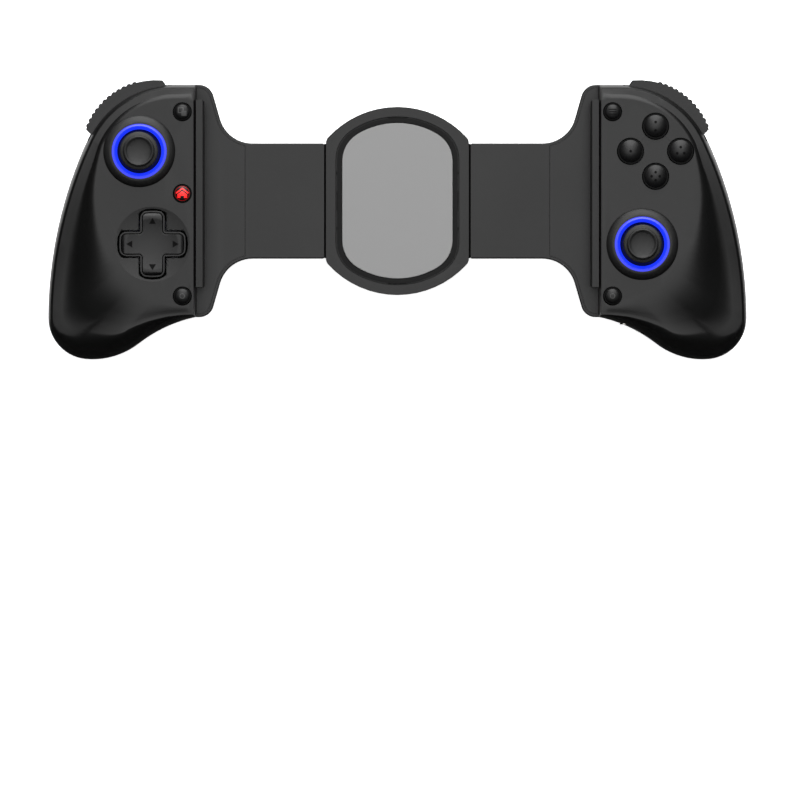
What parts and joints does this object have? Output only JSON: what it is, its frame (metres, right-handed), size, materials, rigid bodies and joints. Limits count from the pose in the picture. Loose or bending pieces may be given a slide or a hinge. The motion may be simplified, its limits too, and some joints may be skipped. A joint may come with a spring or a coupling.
{
  "type": "mobile game controller",
  "caption": "Telescopic handheld controller that clamps a phone between two grips with thumb sticks, direction pad, buttons, bumpers and triggers on a sliding bridge.",
  "frame": {"origin": "centre of the bounding box at the level of the grip backs, the part lying on its back", "axes": "+X along the phone to the right grip, +Y up the grips towards the bumpers, +Z out of the front face"},
  "size_m": [0.2588, 0.1033, 0.046],
  "materials": {
    "bridge_black": "fine grained",
    "rim_black": "satin",
    "plate_grey": "matte soft touch",
    "rail_black": "smooth",
    "steel": "ground",
    "spring_steel": "drawn",
    "screw_black": "black oxide",
    "nylon": "moulded",
    "front_black": "fine grained",
    "back_black": "satin",
    "pad_rubber": "matte",
    "board_green": "solder mask",
    "module_black": "moulded",
    "light_blue": "translucent",
    "silicone": "matte",
    "battery_wrap": "foil",
    "port_metal": "nickel",
    "stick_black": "matte",
    "key_black": "satin",
    "bumper_charcoal": "satin"
  },
  "bodies": {
    "bridge": {"centre_frame": "bridge_black", "centre_back": "bridge_black", "insert_bezel": "rim_black", "contact_plate": "plate_grey", "slide_rail": "rail_black", "pinion_pin": "steel", "centre_screws": "screw_black", "return_springs": "spring_steel"},
    "pinion": {"sync_pinion": "nylon"},
    "left_grip": {"left_front_shell": "front_black", "left_back_shell": "back_black", "left_wing": "bridge_black", "left_wing_cover": "bridge_black", "left_phone_pad": "pad_rubber", "left_rack": "nylon", "left_board": "board_green", "left_stick_base": "module_black", "left_light_ring": "light_blue", "left_screws": "screw_black", "left_pins": "steel", "dpad_post": "nylon", "dpad_membrane": "silicone", "battery": "battery_wrap"},
    "right_grip": {"right_front_shell": "front_black", "right_back_shell": "back_black", "right_wing": "bridge_black", "right_wing_cover": "bridge_black", "right_phone_pad": "pad_rubber", "right_rack": "nylon", "right_board": "board_green", "right_stick_base": "module_black", "right_light_ring": "light_blue", "right_screws": "screw_black", "right_pins": "steel", "face_membrane": "silicone", "usb_port": "port_metal"},
    "left_yoke": {"left_stick_yoke": "nylon"},
    "left_pivot": {"left_stick_pivot": "nylon"},
    "left_stick": {"left_stick_lever": "nylon", "left_stick_cap": "stick_black"},
    "right_yoke": {"right_stick_yoke": "nylon"},
    "right_pivot": {"right_stick_pivot": "nylon"},
    "right_stick": {"right_stick_lever": "nylon", "right_stick_cap": "stick_black"},
    "dpad_ball": {"dpad_ball": "steel"},
    "dpad": {"dpad": "key_black"},
    "north_button": {"north_button": "key_black"},
    "south_button": {"south_button": "key_black"},
    "east_button": {"east_button": "key_black"},
    "west_button": {"west_button": "key_black"},
    "view_button": {"view_button": "key_black"},
    "capture_button": {"capture_button": "key_black"},
    "home_button": {"home_button": "key_black"},
    "menu_button": {"menu_button": "key_black"},
    "turbo_button": {"turbo_button": "key_black"},
    "left_bumper": {"left_bumper": "bumper_charcoal"},
    "left_trigger": {"left_trigger": "bumper_charcoal"},
    "right_bumper": {"right_bumper": "bumper_charcoal"},
    "right_trigger": {"right_trigger": "bumper_charcoal"}
  },
  "joints": [
    {"name": "right_slide", "type": "slide", "parent": "bridge", "child": "right_grip", "axis": [1, 0, 0], "range_m": [0, 0.028], "stiffness_N_per_m": 60, "springref_m": -0.08, "deforming": ["return_springs"]},
    {"name": "left_slide", "type": "slide", "parent": "bridge", "child": "left_grip", "axis": [-1, 0, 0], "range_m": [0, 0.028]},
    {"name": "pinion_spin", "type": "hinge", "parent": "bridge", "child": "pinion", "pos_m": [0, 0.00709, 0.015], "axis": [0, 0, -1], "range_deg": [0, 230]},
    {"name": "left_stick_tilt_x", "type": "hinge", "parent": "left_grip", "child": "left_yoke", "pos_m": [-0.0954, 0.02519, 0.0295], "axis": [1, 0, 0], "range_deg": [-16, 16], "stiffness_Nm_per_rad": 0.03},
    {"name": "left_stick_tilt_y", "type": "hinge", "parent": "left_yoke", "child": "left_pivot", "pos_m": [-0.0954, 0.02519, 0.0295], "axis": [0, 1, 0], "range_deg": [-16, 16], "stiffness_Nm_per_rad": 0.03},
    {"name": "left_stick_press", "type": "slide", "parent": "left_pivot", "child": "left_stick", "axis": [0, 0, -1], "range_m": [0, 0.0004], "stiffness_N_per_m": 600, "springref_m": -0.001},
    {"name": "right_stick_tilt_x", "type": "hinge", "parent": "right_grip", "child": "right_yoke", "pos_m": [0.0905, -0.00911, 0.0295], "axis": [1, 0, 0], "range_deg": [-16, 16], "stiffness_Nm_per_rad": 0.03},
    {"name": "right_stick_tilt_y", "type": "hinge", "parent": "right_yoke", "child": "right_pivot", "pos_m": [0.0905, -0.00911, 0.0295], "axis": [0, 1, 0], "range_deg": [-16, 16], "stiffness_Nm_per_rad": 0.03},
    {"name": "right_stick_press", "type": "slide", "parent": "right_pivot", "child": "right_stick", "axis": [0, 0, -1], "range_m": [0, 0.0004], "stiffness_N_per_m": 600, "springref_m": -0.001},
    {"name": "dpad_tilt_x", "type": "hinge", "parent": "left_grip", "child": "dpad_ball", "pos_m": [-0.0905, -0.00911, 0.0292], "axis": [1, 0, 0], "range_deg": [-3.5, 3.5], "stiffness_Nm_per_rad": 0.08},
    {"name": "dpad_tilt_y", "type": "hinge", "parent": "dpad_ball", "child": "dpad", "pos_m": [-0.0905, -0.00911, 0.0292], "axis": [0, 1, 0], "range_deg": [-3.5, 3.5], "stiffness_Nm_per_rad": 0.08},
    {"name": "north_press", "type": "slide", "parent": "right_grip", "child": "north_button", "axis": [0, 0, -1], "range_m": [0, 0.0009], "stiffness_N_per_m": 150, "springref_m": -0.0015},
    {"name": "south_press", "type": "slide", "parent": "right_grip", "child": "south_button", "axis": [0, 0, -1], "range_m": [0, 0.0009], "stiffness_N_per_m": 150, "springref_m": -0.0015},
    {"name": "east_press", "type": "slide", "parent": "right_grip", "child": "east_button", "axis": [0, 0, -1], "range_m": [0, 0.0009], "stiffness_N_per_m": 150, "springref_m": -0.0015},
    {"name": "west_press", "type": "slide", "parent": "right_grip", "child": "west_button", "axis": [0, 0, -1], "range_m": [0, 0.0009], "stiffness_N_per_m": 150, "springref_m": -0.0015},
    {"name": "view_press", "type": "slide", "parent": "left_grip", "child": "view_button", "axis": [0, 0, -1], "range_m": [0, 0.0005], "stiffness_N_per_m": 150, "springref_m": -0.0015},
    {"name": "capture_press", "type": "slide", "parent": "left_grip", "child": "capture_button", "axis": [0, 0, -1], "range_m": [0, 0.0005], "stiffness_N_per_m": 150, "springref_m": -0.0015},
    {"name": "home_press", "type": "slide", "parent": "left_grip", "child": "home_button", "axis": [0, 0, -1], "range_m": [0, 0.0005], "stiffness_N_per_m": 150, "springref_m": -0.0015},
    {"name": "menu_press", "type": "slide", "parent": "right_grip", "child": "menu_button", "axis": [0, 0, -1], "range_m": [0, 0.0005], "stiffness_N_per_m": 150, "springref_m": -0.0015},
    {"name": "turbo_press", "type": "slide", "parent": "right_grip", "child": "turbo_button", "axis": [0, 0, -1], "range_m": [0, 0.0005], "stiffness_N_per_m": 150, "springref_m": -0.0015},
    {"name": "left_bumper_press", "type": "hinge", "parent": "left_grip", "child": "left_bumper", "pos_m": [-0.08622, 0.04578, 0.02675], "axis": [0, 0, 1], "range_deg": [0, 2.5], "stiffness_Nm_per_rad": 0.3, "springref_deg": -5.73},
    {"name": "left_trigger_pull", "type": "hinge", "parent": "left_grip", "child": "left_trigger", "pos_m": [-0.0981, 0.03931, 0.018], "axis": [-0.848, -0.5299, 0], "range_deg": [0, 14], "stiffness_Nm_per_rad": 0.1, "springref_deg": -17.19},
    {"name": "right_bumper_press", "type": "hinge", "parent": "right_grip", "child": "right_bumper", "pos_m": [0.08622, 0.04578, 0.02675], "axis": [0, 0, -1], "range_deg": [0, 2.5], "stiffness_Nm_per_rad": 0.3, "springref_deg": -5.73},
    {"name": "right_trigger_pull", "type": "hinge", "parent": "right_grip", "child": "right_trigger", "pos_m": [0.0981, 0.03931, 0.018], "axis": [-0.848, 0.5299, 0], "range_deg": [0, 14], "stiffness_Nm_per_rad": 0.1, "springref_deg": -17.19}
  ],
  "couplings": [
    {"joint": "left_slide", "follows": "right_slide", "ratio": 1},
    {"joint": "pinion_spin", "follows": "right_slide", "rad_per_m": 138.89}
  ]
}
